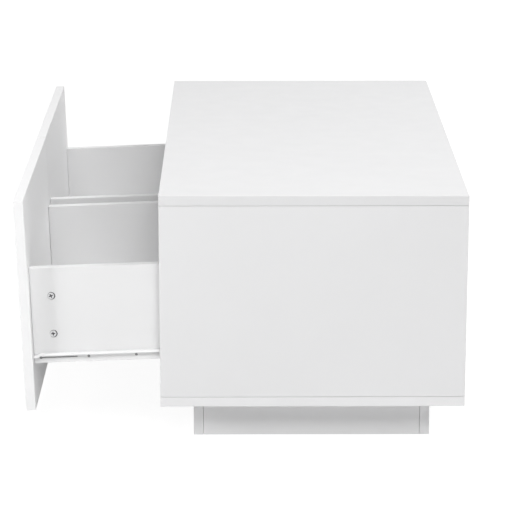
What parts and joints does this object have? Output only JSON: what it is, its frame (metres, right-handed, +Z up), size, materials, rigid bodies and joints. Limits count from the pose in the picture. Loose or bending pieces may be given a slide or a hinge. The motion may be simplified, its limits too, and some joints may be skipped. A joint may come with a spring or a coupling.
{
  "type": "coffee table with drawers",
  "caption": "Low rectangular coffee table on a recessed plinth, with side-by-side full-overlay drawers on roller runners.",
  "frame": {"origin": "centre of the plinth's footprint, on the floor, under the middle cross board", "axes": "+Z up; +Y along the table's length, towards its left end as seen by a person facing the drawers; the drawers open towards -X"},
  "size_m": [0.7282, 0.95, 0.42],
  "materials": {
    "top_board": "white high gloss, edges taped",
    "body_boards": "white high gloss, edges taped",
    "plinth_boards": "white, satin to gloss",
    "drawer_fronts": "white high gloss, edges taped",
    "drawer_boxes": "white, satin",
    "drawer_bottoms": "thin white-faced fibreboard",
    "drawer_runners": "white coated sheet steel",
    "body_runners": "white coated sheet steel",
    "rollers": "natural nylon",
    "axles": "plated steel",
    "cams": "cast zinc, dull",
    "bolts": "plated steel"
  },
  "bodies": {
    "body": {"back_panel": "body_boards", "bottom_panel": "body_boards", "divider_panel": "body_boards", "left_end_panel": "body_boards", "left_inner_body_runner": "body_runners", "left_outer_body_runner": "body_runners", "plinth_back_board": "plinth_boards", "plinth_front_board": "plinth_boards", "plinth_left_board": "plinth_boards", "plinth_middle_board": "plinth_boards", "plinth_right_board": "plinth_boards", "right_end_panel": "body_boards", "right_inner_body_runner": "body_runners", "right_outer_body_runner": "body_runners", "top_panel": "top_board"},
    "left_drawer": {"left_drawer_back": "drawer_boxes", "left_drawer_bottom": "drawer_bottoms", "left_drawer_front": "drawer_fronts", "left_drawer_inner_side": "drawer_boxes", "left_drawer_outer_side": "drawer_boxes", "left_inner_drawer_runner": "drawer_runners", "left_inner_lower_bolt": "bolts", "left_inner_lower_cam": "cams", "left_inner_upper_bolt": "bolts", "left_inner_upper_cam": "cams", "left_outer_drawer_runner": "drawer_runners", "left_outer_lower_bolt": "bolts", "left_outer_lower_cam": "cams", "left_outer_upper_bolt": "bolts", "left_outer_upper_cam": "cams"},
    "left_drawer_pivot": {"left_inner_front_axle": "axles", "left_outer_front_axle": "axles"},
    "left_inner_front_roller": {"left_inner_front_roller": "rollers"},
    "left_inner_rear_roller": {"left_inner_rear_roller": "rollers"},
    "left_outer_front_roller": {"left_outer_front_roller": "rollers"},
    "left_outer_rear_roller": {"left_outer_rear_roller": "rollers"},
    "right_drawer": {"right_drawer_back": "drawer_boxes", "right_drawer_bottom": "drawer_bottoms", "right_drawer_front": "drawer_fronts", "right_drawer_inner_side": "drawer_boxes", "right_drawer_outer_side": "drawer_boxes", "right_inner_drawer_runner": "drawer_runners", "right_inner_lower_bolt": "bolts", "right_inner_lower_cam": "cams", "right_inner_upper_bolt": "bolts", "right_inner_upper_cam": "cams", "right_outer_drawer_runner": "drawer_runners", "right_outer_lower_bolt": "bolts", "right_outer_lower_cam": "cams", "right_outer_upper_bolt": "bolts", "right_outer_upper_cam": "cams"},
    "right_drawer_pivot": {"right_inner_front_axle": "axles", "right_outer_front_axle": "axles"},
    "right_inner_front_roller": {"right_inner_front_roller": "rollers"},
    "right_inner_rear_roller": {"right_inner_rear_roller": "rollers"},
    "right_outer_front_roller": {"right_outer_front_roller": "rollers"},
    "right_outer_rear_roller": {"right_outer_rear_roller": "rollers"}
  },
  "joints": [
    {"name": "right_drawer_slide", "type": "slide", "parent": "right_drawer_pivot", "child": "right_drawer", "axis": [0.9993, 0, 0.0366], "range_m": [0, 0.205]},
    {"name": "right_drawer_tip", "type": "hinge", "parent": "body", "child": "right_drawer_pivot", "pos_m": [-0.232, -0.2335, 0.1483], "axis": [0, 1, 0], "range_deg": [0, 2.1]},
    {"name": "right_outer_front_roller_spin", "type": "hinge", "parent": "body", "child": "right_outer_front_roller", "pos_m": [-0.232, -0.4519, 0.1483], "axis": [0, 1, 0], "range_deg": [0, 1382]},
    {"name": "right_outer_rear_roller_spin", "type": "hinge", "parent": "right_drawer", "child": "right_outer_rear_roller", "pos_m": [-0.16571, -0.45335, 0.14434], "axis": [0, 1, 0], "range_deg": [0, 1382]},
    {"name": "right_inner_front_roller_spin", "type": "hinge", "parent": "body", "child": "right_inner_front_roller", "pos_m": [-0.232, -0.0151, 0.1483], "axis": [0, 1, 0], "range_deg": [0, 1382]},
    {"name": "right_inner_rear_roller_spin", "type": "hinge", "parent": "right_drawer", "child": "right_inner_rear_roller", "pos_m": [-0.16571, -0.01365, 0.14434], "axis": [0, 1, 0], "range_deg": [0, 1382]},
    {"name": "left_drawer_slide", "type": "slide", "parent": "left_drawer_pivot", "child": "left_drawer", "axis": [0.9993, 0, 0.0366], "range_m": [0, 0.205]},
    {"name": "left_drawer_tip", "type": "hinge", "parent": "body", "child": "left_drawer_pivot", "pos_m": [-0.232, 0.2335, 0.1483], "axis": [0, 1, 0], "range_deg": [0, 2.1]},
    {"name": "left_outer_front_roller_spin", "type": "hinge", "parent": "body", "child": "left_outer_front_roller", "pos_m": [-0.232, 0.4519, 0.1483], "axis": [0, 1, 0], "range_deg": [0, 1382]},
    {"name": "left_outer_rear_roller_spin", "type": "hinge", "parent": "left_drawer", "child": "left_outer_rear_roller", "pos_m": [-0.16571, 0.45335, 0.14434], "axis": [0, 1, 0], "range_deg": [0, 1382]},
    {"name": "left_inner_front_roller_spin", "type": "hinge", "parent": "body", "child": "left_inner_front_roller", "pos_m": [-0.232, 0.0151, 0.1483], "axis": [0, 1, 0], "range_deg": [0, 1382]},
    {"name": "left_inner_rear_roller_spin", "type": "hinge", "parent": "left_drawer", "child": "left_inner_rear_roller", "pos_m": [-0.16571, 0.01365, 0.14434], "axis": [0, 1, 0], "range_deg": [0, 1382]}
  ],
  "couplings": [
    {"joint": "right_drawer_tip", "follows": "right_drawer_slide", "rad_per_m": 0.17878},
    {"joint": "right_outer_front_roller_spin", "follows": "right_drawer_slide", "rad_per_m": 117.65},
    {"joint": "right_outer_rear_roller_spin", "follows": "right_drawer_slide", "rad_per_m": 117.65},
    {"joint": "right_inner_front_roller_spin", "follows": "right_drawer_slide", "rad_per_m": 117.65},
    {"joint": "right_inner_rear_roller_spin", "follows": "right_drawer_slide", "rad_per_m": 117.65},
    {"joint": "left_drawer_tip", "follows": "left_drawer_slide", "rad_per_m": 0.17878},
    {"joint": "left_outer_front_roller_spin", "follows": "left_drawer_slide", "rad_per_m": 117.65},
    {"joint": "left_outer_rear_roller_spin", "follows": "left_drawer_slide", "rad_per_m": 117.65},
    {"joint": "left_inner_front_roller_spin", "follows": "left_drawer_slide", "rad_per_m": 117.65},
    {"joint": "left_inner_rear_roller_spin", "follows": "left_drawer_slide", "rad_per_m": 117.65}
  ]
}
